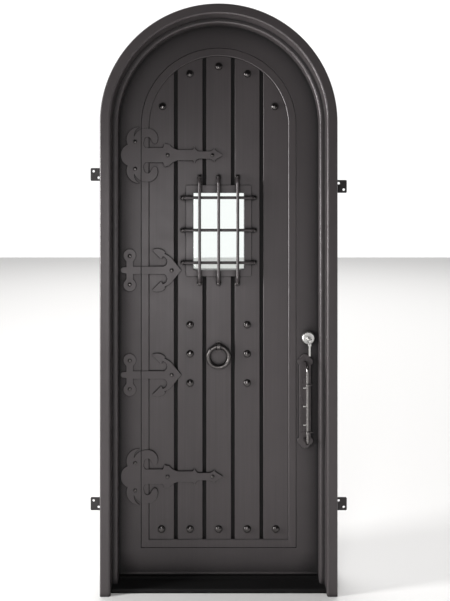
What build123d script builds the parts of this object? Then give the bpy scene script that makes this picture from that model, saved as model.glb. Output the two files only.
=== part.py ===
# Arched wrought iron door in its frame: a round-headed steel frame and an inward-swinging
# panelled leaf with forged straps, a barred window, a ring knocker, a lock and a pull.
# Axes: X across the doorway, Y from outside to inside, Z up. The origin is at the middle of
# the frame's footprint. A depth is measured from the frame's front face towards the inside.

import os
from math import cos, radians, sin

from build123d import *

os.makedirs("parts", exist_ok=True)

# Frame
frame_width = 1004.0
frame_height = 2500.0
frame_depth = 150.0
frame_sheet = 2.5
frame_face = 45.0          # width of the front face, and of the rebate behind the stop
frame_edge_radius = 8.0
stop_thickness = 38.0
stop_reach = 21.0          # how far the stop stands in past the face's inner edge
stop_edge_radius = 9.0

# Threshold
threshold_front = 20.0
tread_height = 15.0
upstand_height = 25.0
upstand_thickness = 8.0
threshold_nosing = 7.0

# Wall anchors
anchor_reach = 55.0
anchor_height = 56.0
anchor_sheet = 3.0
anchor_hole = 11.0
anchor_corner = 5.0
anchor_hinge_drop = 216.0  # from the spring line down to the upper anchors
anchor_lock_drop = 268.0
anchor_lower_z = 350.0
anchor_hole_along = 22.0   # spacing of an anchor's two holes across and up the tab
anchor_hole_up = 28.0
anchor_hole_start = 20.0

# Leaf
leaf_gap = 5.0             # running gap between the leaf's edge and the rebate
leaf_setback = 5.0         # from the frame's back face to the leaf's back face
leaf_thickness = 50.0
seal_space = 2.0           # between the stop and the leaf
leaf_bottom = 30.0
skin = 2.5
face_sheet = 3.0
tube_width = 51.0
tube_wall = 2.5
drip_bottom = 31.0
drip_height = 8.0
drip_reach = 4.0
sweep_thickness = 6.0
sweep_clearance = 0.8
seal_clearance = 0.3

# Arched panel in the leaf
edge_width = 112.0         # from the leaf's edge to the seam round the panel
seam_bottom = 146.0
seam_gap = 2.5
border_width = 33.0
border_bevel = 3.0
panel_sheet = 3.0
panel_depth = 16.0         # from the leaf's face to the backing sheet
backing_sheet = 2.0
board_count = 5
board_gap = 16.0
board_recess = 3.0
board_bevel = 1.5
board_fit = 0.3

# Domed nails
clavo_diameter = 32.0
clavo_height = 10.0
top_clavo_angles = [19.0, 61.0, 90.0, 119.0, 161.0]
clavo_inset = 45.0         # from the border's inner edge to the nails nearest it
clavo_row_pitch = 128.0
clavo_row_drop = 538.0     # from the window's middle down to the middle row

# Forged straps
strap_thickness = 3.0
big_strap_inset = 86.0     # from the leaf's edge to the root nails
big_strap_reach = 384.5    # from the root nails to the tip
top_strap_drop = 130.0     # from the spring line
bottom_strap_z = 458.0
middle_strap_inset = 62.0
middle_strap_reach = 226.0
upper_strap_drop = 505.0   # from the top strap
lower_strap_rise = 446.0   # from the bottom strap
nail_diameter = 17.0
nail_height = 5.0

# Window and its grille
window_width = 225.0
window_height = 339.0
window_drop = 335.0        # from the top strap to the window's middle
surround_width = 287.0
surround_height = 400.0
surround_rise = 3.0        # of the surround's middle above the window's
surround_thickness = 4.0
surround_corner = 6.0
sleeve_wall = 3.0
bar_diameter = 13.0
bar_clearance = 0.3
crossbar_lift = 2.0        # from the surround plate to the crossbars
upright_pitch = 83.0
upright_length = 490.0
crossbar_pitch = 142.0
crossbar_length = 338.0
grille_rise = 6.0
pad_diameter = 22.0
pad_thickness = 4.0
bar_bend = 12.0

# Ring knocker
knocker_diameter = 106.0
knocker_bar = 15.0
knocker_drop = 549.0       # from the window's middle
knocker_stand_off = 0.5
eye_clearance = 0.7
staple_wall = 6.0
staple_width = 14.0
staple_plate_width = 22.0
staple_plate_height = 40.0
staple_plate_thickness = 2.0

# Lock
lock_backset = 60.0
lock_z = 1068.0
rose_diameter = 58.0
rose_height = 17.0
rose_rim = 3.0             # straight part of the rose's edge
rose_taper = 3.0           # the rose narrows by this much a side towards its face
rose_round = 2.0
plug_diameter = 15.0
turning_fit = 0.1
case_width = 90.0
case_height = 70.0
case_depth = 24.0
bolt_height = 25.0
bolt_thickness = 15.0
bolt_throw = 25.0
bolt_fit = 0.4
bolt_length = 45.0
strike_width = 28.0
strike_height = 70.0
strike_sheet = 1.5

# Keys
key_bow_width = 22.0
key_thickness = 2.2
key_stand = 5.0            # blade left showing between the plug and the bow
key_blade_width = 8.0
key_hole_diameter = 7.0
key_rim = 4.5
key_clearance = 0.3
key_ring_diameter = 22.0
key_ring_wire = 2.0
spare_key_length = 56.0
spare_key_bow = 15.0
spare_hole_diameter = 5.0

# Pull handle
pull_inset = 73.0
pull_bottom = 583.0
pull_top = 996.0
pull_plate_thickness = 5.0
pull_lobe_width = 69.0
pull_lobe_radius = 17.0
pull_lobe_drop = 33.0      # from the plate's end to its side lobes
pull_waist_width = 51.0
pull_end_width = 46.0
grip_diameter = 13.0
grip_top = 959.0
grip_bottom = 624.0
grip_stand_off = 62.0
grip_bend = 22.0
lower_collar_rise = 56.0   # from the grip's foot
upper_collar_drop = 76.0   # from the grip's head
collar_diameter = 21.0
collar_height = 8.0
first_peg_rise = 88.0      # from the grip's foot
peg_pitch = 79.0
peg_diameter = 5.0
peg_length = 12.0
thorn_length = 16.0

# Hinges
barrel_diameter = 19.0
barrel_length = 110.0
barrel_clearance = 1.0     # from the frame's back face to the barrel
hinge_offset = 2.5         # from the rebate's face to the hinge axis
hinge_pin_diameter = 10.0
hinge_pin_head = 3.0
pin_fit = 0.06
washer_thickness = 2.0
washer_fit = 0.15
hinge_plate = 5.0
hinge_plate_reach = 34.0

# Glazed casement behind the grille
casement_overlap = 27.0
casement_rail = 26.0
casement_thickness = 14.0
casement_seal = 2.0
glass_thickness = 6.0
glass_fit = 0.3
casement_barrel = 10.0
casement_barrel_length = 40.0
casement_pin_diameter = 5.0
casement_plate = 3.0
casement_plate_reach = 22.0
latch_length = 44.0
latch_width = 14.0
latch_thickness = 5.0
latch_pin_diameter = 6.0
latch_clearance = 0.3

# Worked out from the sizes above: frame and leaf
half_width = frame_width / 2
spring_z = frame_height - half_width
rebate_half = half_width - frame_face
stop_half = rebate_half - stop_reach
leaf_half = rebate_half - leaf_gap
leaf_back = frame_depth - leaf_setback
leaf_depth = leaf_back - leaf_thickness
stop_back = leaf_depth - seal_space
stop_depth = stop_back - stop_thickness
tube_front = leaf_depth + face_sheet
tube_back = leaf_back - skin
tube_inner = leaf_half - tube_width

# Panel
seam_half_width = leaf_half - edge_width
edge_inner = seam_half_width + seam_gap / 2
border_outer = seam_half_width - seam_gap / 2
border_inner = border_outer - border_width
edge_bottom = seam_bottom - seam_gap / 2
border_bottom = seam_bottom + seam_gap / 2
field_bottom = border_bottom + border_width
board_face = leaf_depth + board_recess
backing_depth = leaf_depth + panel_depth
board_pitch = (2 * border_inner + board_gap) / board_count
board_width = board_pitch - board_gap

# Straps, and the hinges behind them
top_strap_z = spring_z - top_strap_drop
upper_strap_z = top_strap_z - upper_strap_drop
lower_strap_z = bottom_strap_z + lower_strap_rise
hinge_levels = [bottom_strap_z, lower_strap_z, upper_strap_z, top_strap_z]
big_strap_x = -(leaf_half - big_strap_inset)
middle_strap_x = -(leaf_half - middle_strap_inset)

# Window, knocker, lock and pull
window_z = top_strap_z - window_drop
surround_z = window_z + surround_rise
surround_face = board_face - surround_thickness
grille_z = window_z + grille_rise
pad_face = board_face - pad_thickness
knocker_z = window_z - knocker_drop
lock_x = leaf_half - lock_backset
pull_x = leaf_half - pull_inset
collar_levels = [grip_bottom + lower_collar_rise, grip_top - upper_collar_drop]
peg_levels = [grip_bottom + first_peg_rise + step * peg_pitch for step in range(3)]


def facing(depth):
    """Plane of a front view at a depth: local x is X, local y is Z, out is towards the outside."""
    return Plane.XZ.offset(frame_depth / 2 - depth)


def level(height):
    """Plane of a top view at a height: local x is X, local y is Y."""
    return Plane.XY.offset(height)


def y_at(depth):
    """Y of a depth behind the frame's front face."""
    return depth - frame_depth / 2


def arched(half, bottom):
    """Outline with a half-round head about the spring line."""
    with BuildSketch() as outline:
        with BuildLine():
            Polyline((-half, spring_z), (-half, bottom), (half, bottom), (half, spring_z))
            CenterArc((0, spring_z), half, 0, 180)
        make_face()
    return outline.sketch


def write(piece, name):
    """Label a finished piece and write it out."""
    piece.label = name
    export_step(piece, "parts/" + name + ".step")


# Frame jambs and head: one folded hollow section with a deep stop
def jamb_outline(side):
    """Section of the frame on one side, seen from above; side is -1 on the hinge side, 1 on the lock side."""
    steps = [
        (half_width, 0),
        (rebate_half, 0),
        (rebate_half, stop_depth),
        (stop_half, stop_depth),
        (stop_half, stop_back),
        (rebate_half, stop_back),
        (rebate_half, frame_depth),
        (half_width, frame_depth),
    ]
    with BuildSketch() as outline:
        with BuildLine():
            Polyline([(side * x, y_at(depth)) for x, depth in steps], close=True)
        make_face()
    return outline.sketch


def jamb_section(side):
    """Hollow section with rounded arrises on the face and the stop."""
    with BuildSketch() as solid:
        add(jamb_outline(side))
        fillet(solid.vertices().group_by(Axis.Y)[0], frame_edge_radius)
        stop_arris = solid.vertices().sort_by_distance((side * stop_half, y_at(stop_depth), 0))[0]
        fillet(stop_arris, stop_edge_radius)
    with BuildSketch() as section:
        add(solid.sketch)
        offset(amount=-frame_sheet, kind=Kind.INTERSECTION, mode=Mode.SUBTRACT)
    return section.sketch


with BuildPart() as jamb_hinge_side:
    with BuildSketch(level(0)):
        add(jamb_section(-1))
    extrude(amount=spring_z)
write(jamb_hinge_side.part, "jamb_hinge_side")

strike_pocket_height = bolt_height + 4
strike_pocket_depth = bolt_thickness + 4
bolt_depth = (tube_front + tube_back) / 2

with BuildPart() as jamb_lock_side:
    with BuildSketch(level(0)):
        add(jamb_section(1))
    extrude(amount=spring_z)
    # Pocket for the bolt through the rebate's wall
    with BuildSketch(Plane.YZ.offset(rebate_half)):
        with Locations((y_at(bolt_depth), lock_z)):
            Rectangle(strike_pocket_depth, strike_pocket_height)
    extrude(amount=frame_sheet, mode=Mode.SUBTRACT)
write(jamb_lock_side.part, "jamb_lock_side")

with BuildPart() as arch_head:
    with BuildSketch(level(spring_z)):
        add(jamb_section(-1))
    revolve(axis=Axis((0, 0, spring_z), (0, 1, 0)), revolution_arc=180)
write(arch_head.part, "arch_head")

# Threshold: a folded tread with an upstand in line with the stop's back
with BuildPart() as threshold:
    with BuildSketch(Plane.YZ.offset(-rebate_half)) as tread:
        with BuildLine():
            Polyline(
                (y_at(threshold_front), 0),
                (y_at(threshold_front), tread_height - threshold_nosing),
                (y_at(threshold_front) + threshold_nosing, tread_height),
                (y_at(stop_back - upstand_thickness), tread_height),
                (y_at(stop_back - upstand_thickness), upstand_height),
                (y_at(stop_back), upstand_height),
                (y_at(stop_back), tread_height),
                (y_at(frame_depth), tread_height),
                (y_at(frame_depth), 0),
                close=True,
            )
        make_face()
        offset(amount=-frame_sheet, kind=Kind.INTERSECTION, mode=Mode.SUBTRACT)
    extrude(amount=2 * rebate_half)
    with BuildSketch(level(0)):
        add(jamb_outline(-1))
        add(jamb_outline(1))
    extrude(amount=upstand_height, mode=Mode.SUBTRACT)
write(threshold.part, "threshold")


# Wall anchors: punched tabs welded to the jambs' outer faces
def anchor_tabs(side, heights):
    """The anchor tabs of one jamb, each with two holes set on a slant."""
    middle = side * (half_width + anchor_reach / 2)
    with BuildPart() as tabs:
        for height in heights:
            with BuildSketch(facing((frame_depth + anchor_sheet) / 2)) as outline:
                with Locations((middle, height)):
                    Rectangle(anchor_reach, anchor_height)
                corners = outline.vertices().sort_by(Axis.X)
                fillet(corners[-2:] if side > 0 else corners[:2], anchor_corner)
                with Locations(*anchor_holes(side, height)):
                    Circle(anchor_hole / 2, mode=Mode.SUBTRACT)
            extrude(amount=anchor_sheet)
    return tabs.part


def anchor_holes(side, height):
    """Centres of the two holes; they fall away from the wall edge on the hinge side only."""
    near = half_width + anchor_hole_start
    far = near + anchor_hole_along
    rise = anchor_hole_up / 2 * (1 if side < 0 else -1)
    return [(side * near, height - rise), (side * far, height + rise)]


write(anchor_tabs(-1, [spring_z - anchor_hinge_drop, anchor_lower_z]), "anchors_hinge_side")
write(anchor_tabs(1, [spring_z - anchor_lock_drop, anchor_lower_z]), "anchors_lock_side")

# Weather seal on the back of the stop, up one side, over the head and down the other
with BuildPart() as frame_seal:
    with BuildSketch(facing(leaf_depth - seal_clearance)):
        add(arched(rebate_half - frame_sheet, tread_height))
        add(arched(stop_half + frame_sheet, tread_height), mode=Mode.SUBTRACT)
    extrude(amount=leaf_depth - seal_clearance - stop_back)
write(frame_seal.part, "frame_seal")

# Strike plate let into the rebate's face opposite the bolt
with BuildPart() as strike_plate:
    with BuildSketch(Plane.YZ.offset(rebate_half - strike_sheet)) as strike:
        with Locations((y_at(bolt_depth), lock_z)):
            Rectangle(strike_width, strike_height)
            fillet(strike.vertices(), anchor_corner)
            Rectangle(strike_pocket_depth, strike_pocket_height, mode=Mode.SUBTRACT)
    extrude(amount=strike_sheet)
write(strike_plate.part, "strike_plate")


# Leaf: tubes, an edge plate round the panel, and a flat inner skin
def tube_section(near, far):
    """Hollow section of a leaf tube between two X values, seen from above."""
    middle = ((near + far) / 2, (y_at(tube_front) + y_at(tube_back)) / 2)
    width = abs(far - near)
    depth = tube_back - tube_front
    with Locations(middle):
        Rectangle(width, depth)
        Rectangle(width - 2 * tube_wall, depth - 2 * tube_wall, mode=Mode.SUBTRACT)


with BuildPart() as stile_hinge_side:
    with BuildSketch(level(leaf_bottom)):
        tube_section(-leaf_half, -tube_inner)
    extrude(amount=spring_z - leaf_bottom)
write(stile_hinge_side.part, "stile_hinge_side")

with BuildPart() as stile_lock_side:
    with BuildSketch(level(leaf_bottom)):
        tube_section(tube_inner, leaf_half)
    extrude(amount=spring_z - leaf_bottom)
    # Way through the stile for the lock case
    with BuildSketch(Plane.YZ.offset(tube_inner)):
        with Locations((y_at(bolt_depth), lock_z)):
            Rectangle(case_depth + 2 * bolt_fit, case_height + 2 * bolt_fit)
    extrude(amount=tube_width, mode=Mode.SUBTRACT)
    # Holes for the cylinder's and the turn's spindle
    with BuildSketch(facing(tube_back)):
        with Locations((lock_x, lock_z)):
            Circle(plug_diameter / 2 + turning_fit)
    extrude(amount=tube_back - tube_front, mode=Mode.SUBTRACT)
write(stile_lock_side.part, "stile_lock_side")

with BuildPart() as arch_rail:
    with BuildSketch(level(spring_z)):
        tube_section(-leaf_half, -tube_inner)
    revolve(axis=Axis((0, 0, spring_z), (0, 1, 0)), revolution_arc=180)
write(arch_rail.part, "arch_rail")

rail_middle = (tube_front + tube_back) / 2
with BuildPart() as bottom_rail:
    with BuildSketch(Plane.YZ.offset(-tube_inner)):
        with Locations((y_at(rail_middle), leaf_bottom + tube_width / 2)):
            Rectangle(tube_back - tube_front, tube_width)
            Rectangle(tube_back - tube_front - 2 * tube_wall, tube_width - 2 * tube_wall, mode=Mode.SUBTRACT)
    extrude(amount=2 * tube_inner)
write(bottom_rail.part, "bottom_rail")

# Plate round the panel: its inner edge is folded back, which makes one side of the seam
with BuildPart() as edge_plate:
    with BuildSketch(facing(tube_front)):
        add(arched(leaf_half, leaf_bottom))
        add(arched(edge_inner, edge_bottom), mode=Mode.SUBTRACT)
    extrude(amount=face_sheet)
    with BuildSketch(facing(backing_depth)):
        add(arched(edge_inner + face_sheet, edge_bottom - face_sheet))
        add(arched(edge_inner, edge_bottom), mode=Mode.SUBTRACT)
    extrude(amount=panel_depth)
    with BuildSketch(facing(tube_front)):
        with Locations((lock_x, lock_z)):
            Circle(plug_diameter / 2 + turning_fit)
    extrude(amount=face_sheet, mode=Mode.SUBTRACT)
write(edge_plate.part, "edge_plate")

# Backing sheet that closes the gaps between the boards
with BuildPart() as panel_backing:
    with BuildSketch(facing(backing_depth + backing_sheet)):
        add(arched(tube_inner, leaf_bottom + tube_width))
        with Locations((0, window_z)):
            Rectangle(window_width + 2 * sleeve_wall, window_height + 2 * sleeve_wall, mode=Mode.SUBTRACT)
        with Locations((lock_x, lock_z)):
            Rectangle(case_width, case_height + 2 * bolt_fit, mode=Mode.SUBTRACT)
    extrude(amount=backing_sheet)
write(panel_backing.part, "panel_backing")

with BuildPart() as inner_skin:
    with BuildSketch(facing(leaf_back)):
        add(arched(leaf_half, leaf_bottom))
        with Locations((0, window_z)):
            Rectangle(window_width + 2 * sleeve_wall, window_height + 2 * sleeve_wall, mode=Mode.SUBTRACT)
        with Locations((lock_x, lock_z)):
            Circle(plug_diameter / 2 + turning_fit, mode=Mode.SUBTRACT)
    extrude(amount=skin)
write(inner_skin.part, "inner_skin")

# Border strip: a folded channel round the boards, bevelled on its inner edge
with BuildPart() as panel_border:
    with BuildSketch(facing(backing_depth)):
        add(arched(border_outer, border_bottom))
        add(arched(border_inner, field_bottom), mode=Mode.SUBTRACT)
    extrude(amount=panel_depth)
    inner_edges = panel_border.faces().sort_by(Axis.Y)[0].inner_wires()[0].edges()
    chamfer(inner_edges, length=board_recess, length2=border_bevel, reference=panel_border.faces().sort_by(Axis.Y)[0])
    with BuildSketch(facing(backing_depth)):
        add(arched(border_outer - panel_sheet, border_bottom + panel_sheet))
        add(arched(border_inner + panel_sheet, field_bottom - panel_sheet), mode=Mode.SUBTRACT)
    extrude(amount=panel_depth - panel_sheet, mode=Mode.SUBTRACT)
write(panel_border.part, "panel_border")


# Boards: pans folded from sheet, open at the back, with the window let into the middle ones
def board_outline(index, grow):
    """Outline of one board, drawn smaller by -grow, with the window's sleeve cut out of it."""
    middle = (index - (board_count - 1) / 2) * board_pitch
    opening = sleeve_wall + board_fit - grow
    with BuildSketch() as outline:
        add(arched(border_inner - board_fit + grow, field_bottom + board_fit - grow))
        with Locations((middle, frame_height / 2)):
            Rectangle(board_width + 2 * grow, frame_height, mode=Mode.INTERSECT)
        with Locations((0, window_z)):
            Rectangle(window_width + 2 * opening, window_height + 2 * opening, mode=Mode.SUBTRACT)
    return outline.sketch


def board(index):
    """One board with a bevel round its face."""
    with BuildPart() as pan:
        with BuildSketch(facing(backing_depth)):
            add(board_outline(index, 0))
        extrude(amount=backing_depth - board_face)
        chamfer(pan.faces().filter_by(Plane.XZ).group_by(Axis.Y)[0].edges(), board_bevel)
        with BuildSketch(facing(backing_depth)):
            add(board_outline(index, -panel_sheet))
        extrude(amount=backing_depth - board_face - panel_sheet, mode=Mode.SUBTRACT)
    return pan.part


for index in range(board_count):
    write(board(index), "board_" + str(index + 1))

# Strip along the foot of the leaf that throws rain clear of the threshold
with BuildPart() as drip_strip:
    with BuildSketch(Plane.YZ.offset(-leaf_half)) as drip:
        with BuildLine():
            Polyline(
                (y_at(leaf_depth), drip_bottom),
                (y_at(leaf_depth - drip_reach), drip_bottom),
                (y_at(leaf_depth - drip_reach), drip_bottom + drip_height - drip_reach),
                (y_at(leaf_depth), drip_bottom + drip_height),
                close=True,
            )
        make_face()
    extrude(amount=2 * leaf_half)
    with BuildSketch(level(0)):
        with Locations((-half_width, y_at(leaf_depth)), (half_width, y_at(leaf_depth))):
            Rectangle(2 * (half_width - stop_half + 2), frame_depth)
    extrude(amount=leaf_bottom * 2, mode=Mode.SUBTRACT)
write(drip_strip.part, "drip_strip")

# Rubber sweep under the leaf
with BuildPart() as door_sweep:
    with BuildSketch(facing(rail_middle + sweep_thickness / 2)):
        with Locations((0, (leaf_bottom + tread_height + sweep_clearance) / 2)):
            Rectangle(2 * leaf_half - 2, leaf_bottom - tread_height - sweep_clearance)
    extrude(amount=sweep_thickness)
write(door_sweep.part, "door_sweep")


# Forged straps, drawn with the root nails' column at zero and scaled to their reach
big_strap_drawn = 384.5
big_strap_nails = [(0, -60), (0, 60), (142, 0), (339, 0)]
middle_strap_drawn = 226.0
middle_strap_nails = [(0, -62.5), (0, 62.5), (184, 0)]


def big_strap_outline():
    """Scrolled strap about its root nails' column: belly, horn, scroll, then a cusped taper."""
    with BuildSketch() as outline:
        with BuildLine() as half:
            ThreePointArc((-63, 0), (-54.8, 27.8), (-33, 46))
            ThreePointArc((-33, 46), (-30, 96), (19.5, 123))
            ThreePointArc((19.5, 123), (0, 106), (-5, 80))
            ThreePointArc((-5, 80), (15, 106), (52.5, 116.5))
            ThreePointArc((52.5, 116.5), (92, 96), (95, 57))
            ThreePointArc((95, 57), (86, 51), (77, 56))
            Line((77, 56), (70, 67.5))
            ThreePointArc((70, 67.5), (55, 80), (38.6, 62))
            ThreePointArc((38.6, 62), (36.5, 46), (46, 31.6))
            Line((46, 31.6), (121, 31.6))
            ThreePointArc((121, 31.6), (126, 41), (128, 52.7))
            ThreePointArc((128, 52.7), (139, 48), (149, 47.4))
            ThreePointArc((149, 47.4), (166, 31), (188, 22.8))
            Line((188, 22.8), (251, 22.8))
            ThreePointArc((251, 22.8), (257, 29), (260, 38.6))
            ThreePointArc((260, 38.6), (266, 24), (276, 15.8))
            Line((276, 15.8), (325, 15.8))
            ThreePointArc((325, 15.8), (339, 21), (348, 31.6))
            ThreePointArc((348, 31.6), (350, 23), (356, 17.5))
            Line((356, 17.5), (big_strap_drawn, 0))
            mirror(half.line, about=Plane.XZ)
        make_face()
    return outline.sketch


def middle_strap_outline():
    """Barbed strap about its root nails' column: a lobed plate, a bar and an anchor head."""
    with BuildSketch() as outline:
        with BuildLine() as half:
            ThreePointArc((-39, 0), (-36.5, 8.5), (-30, 12))
            Line((-30, 12), (-14.5, 14))
            Line((-14.5, 14), (-14.5, 39))
            Line((-14.5, 39), (-20, 46))
            ThreePointArc((-20, 46), (0, 92), (20, 46))
            Line((20, 46), (14.5, 39))
            Line((14.5, 39), (14.5, 16.5))
            Line((14.5, 16.5), (150, 16.5))
            ThreePointArc((150, 16.5), (164, 36), (144.5, 61))
            Line((144.5, 61), (138, 48))
            Line((138, 48), (98, 88))
            ThreePointArc((98, 88), (130, 93.5), (156, 79))
            Line((156, 79), (152, 71.5))
            ThreePointArc((152, 71.5), (174, 60), (192, 41))
            Line((192, 41), (middle_strap_drawn, 0))
            mirror(half.line, about=Plane.XZ)
        make_face()
    return outline.sketch


strap_face = leaf_depth - strap_thickness
big_strap_scale = big_strap_reach / big_strap_drawn
middle_strap_scale = middle_strap_reach / middle_strap_drawn


def strap(outline, by, column, height):
    """A strap as its two plates, cut apart along the panel's seam."""
    with BuildPart() as plates:
        with BuildSketch(Plane((column, y_at(leaf_depth), height), x_dir=(1, 0, 0), z_dir=(0, -1, 0))):
            add(scale(outline, by=by))
        extrude(amount=strap_thickness)
        with BuildSketch(Plane.YZ.offset(-edge_inner)):
            with Locations((y_at(leaf_depth), height)):
                Rectangle(4 * strap_thickness, frame_width)
        extrude(amount=seam_gap, mode=Mode.SUBTRACT)
    return plates.part


big_strap = big_strap_outline()
middle_strap = middle_strap_outline()
write(strap(big_strap, big_strap_scale, big_strap_x, top_strap_z), "strap_top")
write(strap(middle_strap, middle_strap_scale, middle_strap_x, upper_strap_z), "strap_upper_middle")
write(strap(middle_strap, middle_strap_scale, middle_strap_x, lower_strap_z), "strap_lower_middle")
write(strap(big_strap, big_strap_scale, big_strap_x, bottom_strap_z), "strap_bottom")


# Nails
def dome(diameter, height):
    """Low round head about the Y axis, its seat at Y = 0 and its crown towards the outside."""
    radius = diameter / 2
    with BuildPart() as head:
        with BuildSketch(Plane.XY):
            with BuildLine():
                ThreePointArc((-radius, 0), (0, -height), (radius, 0))
                Line((radius, 0), (-radius, 0))
            make_face()
            Rectangle(diameter, 2 * height, align=(Align.MAX, Align.CENTER), mode=Mode.SUBTRACT)
        revolve(axis=Axis.Y)
    return head.part


clavo_arc = border_inner - clavo_inset
clavo_seats = [
    (clavo_arc * cos(radians(angle)), spring_z + clavo_arc * sin(radians(angle))) for angle in top_clavo_angles
]
for row in (-1, 0, 1):
    row_z = window_z - clavo_row_drop + row * clavo_row_pitch
    clavo_seats += [(-board_pitch, row_z), (board_pitch, row_z)]
clavo_seats += [
    ((index - (board_count - 1) / 2) * board_pitch, field_bottom + clavo_inset) for index in range(board_count)
]

clavo = dome(clavo_diameter, clavo_height)
with BuildPart() as clavos:
    with Locations([(x, y_at(board_face), z) for x, z in clavo_seats]):
        add(clavo)
write(clavos.part, "clavos")

# Window: a surround plate on the boards and a sleeve through the leaf
with BuildPart() as window_surround:
    with BuildSketch(facing(board_face)) as surround:
        with Locations((0, surround_z)):
            Rectangle(surround_width, surround_height)
            fillet(surround.vertices(), surround_corner)
        with Locations((0, window_z)):
            RectangleRounded(window_width, window_height, surround_corner, mode=Mode.SUBTRACT)
    extrude(amount=surround_thickness)
write(window_surround.part, "window_surround")

with BuildPart() as window_sleeve:
    with BuildSketch(facing(leaf_back)):
        with Locations((0, window_z)):
            Rectangle(window_width + 2 * sleeve_wall, window_height + 2 * sleeve_wall)
            Rectangle(window_width, window_height, mode=Mode.SUBTRACT)
    extrude(amount=leaf_back - board_face)
write(window_sleeve.part, "window_sleeve")


# Grille: round bars whose ends bend back to flattened pads on the boards
def grille_bar(length, depth):
    """One upright bar about the origin, its middle at a depth and its pads on the boards."""
    end = length / 2 - pad_diameter / 2
    run = end - (pad_face - depth) - 4
    foot = y_at(pad_face + pad_thickness / 2)
    line = y_at(depth)
    with BuildPart() as bar:
        with BuildLine():
            FilletPolyline((0, foot, -end + 2), (0, line, -run), (0, line, run), (0, foot, end - 2), radius=bar_bend)
        with BuildSketch(Plane((0, foot, -end + 2), z_dir=(0, line - foot, end - 2 - run))):
            Circle(bar_diameter / 2)
        sweep()
        with BuildSketch(Plane.XZ.offset(-y_at(board_face))):
            with Locations((0, -end), (0, end)):
                Circle(pad_diameter / 2)
        extrude(amount=pad_thickness)
        with BuildSketch(Plane.XZ.offset(-y_at(board_face))):
            Rectangle(2 * pad_diameter, length + pad_diameter)
        extrude(amount=-3 * pad_diameter, mode=Mode.SUBTRACT)
    return bar.part


crossbar_depth = surround_face - bar_diameter / 2 - crossbar_lift
upright_depth = crossbar_depth - bar_diameter - bar_clearance
upright = grille_bar(upright_length, upright_depth)
crossbar = grille_bar(crossbar_length, crossbar_depth).rotate(Axis.Y, 90)

with BuildPart() as grille_uprights:
    with Locations([(step * upright_pitch, 0, grille_z) for step in (-1, 0, 1)]):
        add(upright)
write(grille_uprights.part, "grille_uprights")

with BuildPart() as grille_crossbars:
    with Locations([(0, 0, grille_z + step * crossbar_pitch) for step in (-1, 0, 1)]):
        add(crossbar)
write(grille_crossbars.part, "grille_crossbars")

# Round nails through the straps
strap_nail_seats = []
for height in (top_strap_z, bottom_strap_z):
    strap_nail_seats += [
        (big_strap_x + big_strap_scale * x, height + big_strap_scale * z) for x, z in big_strap_nails
    ]
for height in (upper_strap_z, lower_strap_z):
    strap_nail_seats += [
        (middle_strap_x + middle_strap_scale * x, height + middle_strap_scale * z) for x, z in middle_strap_nails
    ]
strap_nail = dome(nail_diameter, nail_height)
with BuildPart() as strap_nails:
    with Locations([(x, y_at(strap_face), z) for x, z in strap_nail_seats]):
        add(strap_nail)
write(strap_nails.part, "strap_nails")

# Ring knocker: a ring hung in a staple
knocker_radius = (knocker_diameter - knocker_bar) / 2
knocker_depth = board_face - knocker_bar / 2 - knocker_stand_off
eye_radius = knocker_bar / 2 + eye_clearance
eye_z = knocker_z + knocker_radius

with BuildPart() as knocker_ring:
    with BuildSketch(Plane.YZ):
        with Locations((y_at(knocker_depth), eye_z)):
            Circle(knocker_bar / 2)
    revolve(axis=Axis((0, 0, knocker_z), (0, 1, 0)), revolution_arc=360)
write(knocker_ring.part, "knocker_ring")

with BuildPart() as knocker_staple:
    with BuildSketch(Plane.YZ.offset(-staple_width / 2)):
        with Locations((y_at(knocker_depth), eye_z)):
            Circle(eye_radius + staple_wall)
        with Locations(((y_at(knocker_depth) + y_at(board_face)) / 2, eye_z)):
            Rectangle(board_face - knocker_depth, 2 * (eye_radius + staple_wall))
        with Locations((y_at(knocker_depth), eye_z)):
            Circle(eye_radius, mode=Mode.SUBTRACT)
        with Locations((y_at(board_face + frame_depth / 2), eye_z)):
            Rectangle(frame_depth, 4 * eye_radius, mode=Mode.SUBTRACT)
    extrude(amount=staple_width)
    with BuildSketch(facing(board_face)):
        for side in (-1, 1):
            with Locations((0, eye_z + side * (eye_radius + staple_wall * 0.7))):
                Circle(staple_plate_width / 2)
    extrude(amount=staple_plate_thickness)
    with BuildSketch(facing(board_face)):
        with Locations((0, eye_z)):
            Rectangle(staple_plate_width + 2, 2 * eye_radius)
    extrude(amount=staple_plate_thickness, mode=Mode.SUBTRACT)
write(knocker_staple.part, "knocker_staple")

# Lock: a bright cylinder outside, a case in the stile, a sliding bolt and a thumb turn inside
rose_face = leaf_depth - rose_height
with BuildPart() as lock_rose:
    with BuildSketch(Plane.XY):
        with BuildLine():
            Polyline(
                (plug_diameter / 2 + turning_fit, 0),
                (rose_diameter / 2, 0),
                (rose_diameter / 2, -rose_rim),
                (rose_diameter / 2 - rose_taper, -rose_height + rose_round),
                (rose_diameter / 2 - rose_taper - rose_round, -rose_height),
                (plug_diameter / 2 + turning_fit, -rose_height),
                close=True,
            )
        make_face()
    revolve(axis=Axis.Y)
write(lock_rose.part.moved(Location((lock_x, y_at(leaf_depth), lock_z))), "lock_rose")

plug_face = rose_face - 1
with BuildPart() as lock_plug:
    with BuildSketch(facing(bolt_depth - bolt_thickness / 2 - 2 * bolt_fit)):
        with Locations((lock_x, lock_z)):
            Circle(plug_diameter / 2)
    extrude(amount=bolt_depth - bolt_thickness / 2 - 2 * bolt_fit - plug_face)
    chamfer(lock_plug.edges().group_by(Axis.Y)[0], 1)
write(lock_plug.part, "lock_plug")

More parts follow.
